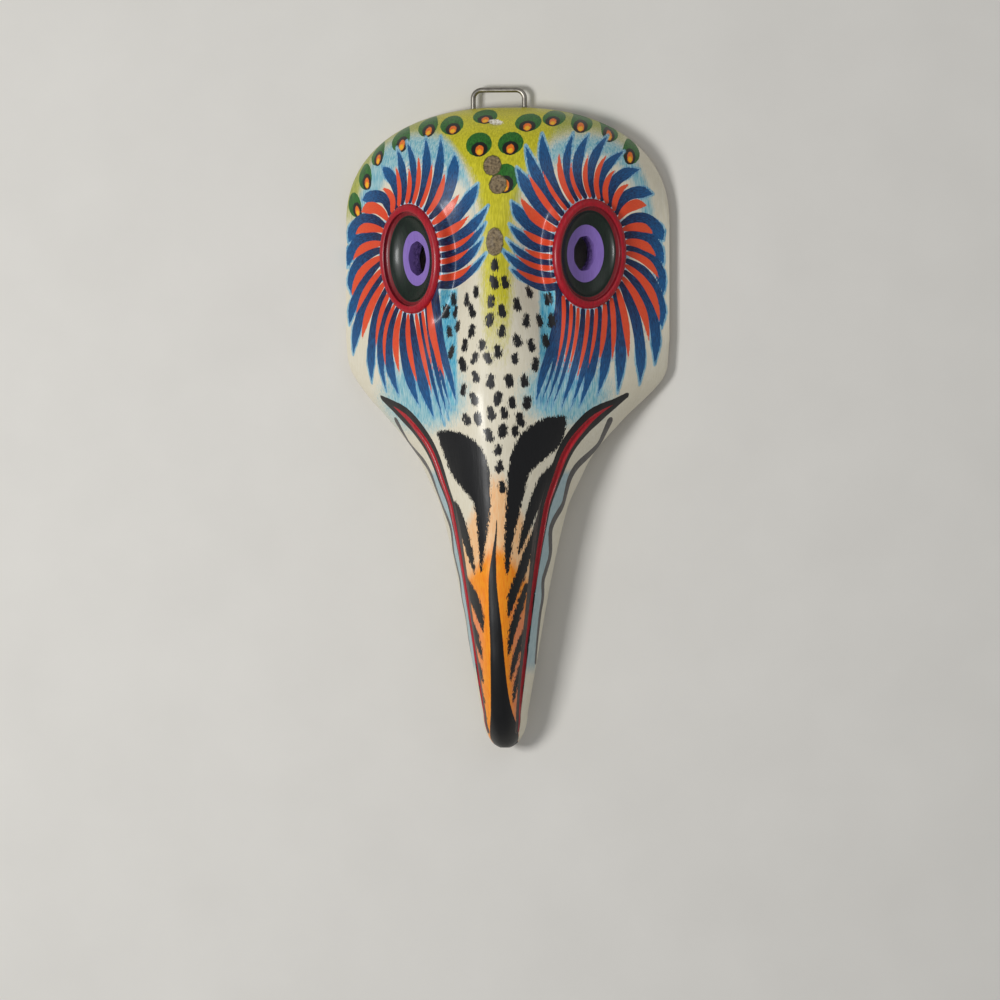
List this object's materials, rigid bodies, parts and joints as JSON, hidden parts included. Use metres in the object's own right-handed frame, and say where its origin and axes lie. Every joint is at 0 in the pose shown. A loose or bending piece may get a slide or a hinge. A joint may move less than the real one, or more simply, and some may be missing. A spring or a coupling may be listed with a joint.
{
  "type": "toucan mask",
  "caption": "Carved wooden toucan mask, hollow behind the face, with bored eyes, a long solid beak and a bent wire hanger at the crown.",
  "frame": {"origin": "on the back plane, below the middle of the whole, hanger included", "axes": "+Z out of the face, +Y from the beak tip to the crown, +X to the right of someone who looks at the face"},
  "size_m": [0.189, 0.382, 0.07],
  "materials": {
    "painted_wood": "carved softwood, brush-painted in many colours and varnished",
    "steel_wire": "drawn steel wire, dull bright"
  },
  "bodies": {
    "root": {"mask": "painted_wood", "hanger": "steel_wire"}
  },
  "joints": []
}
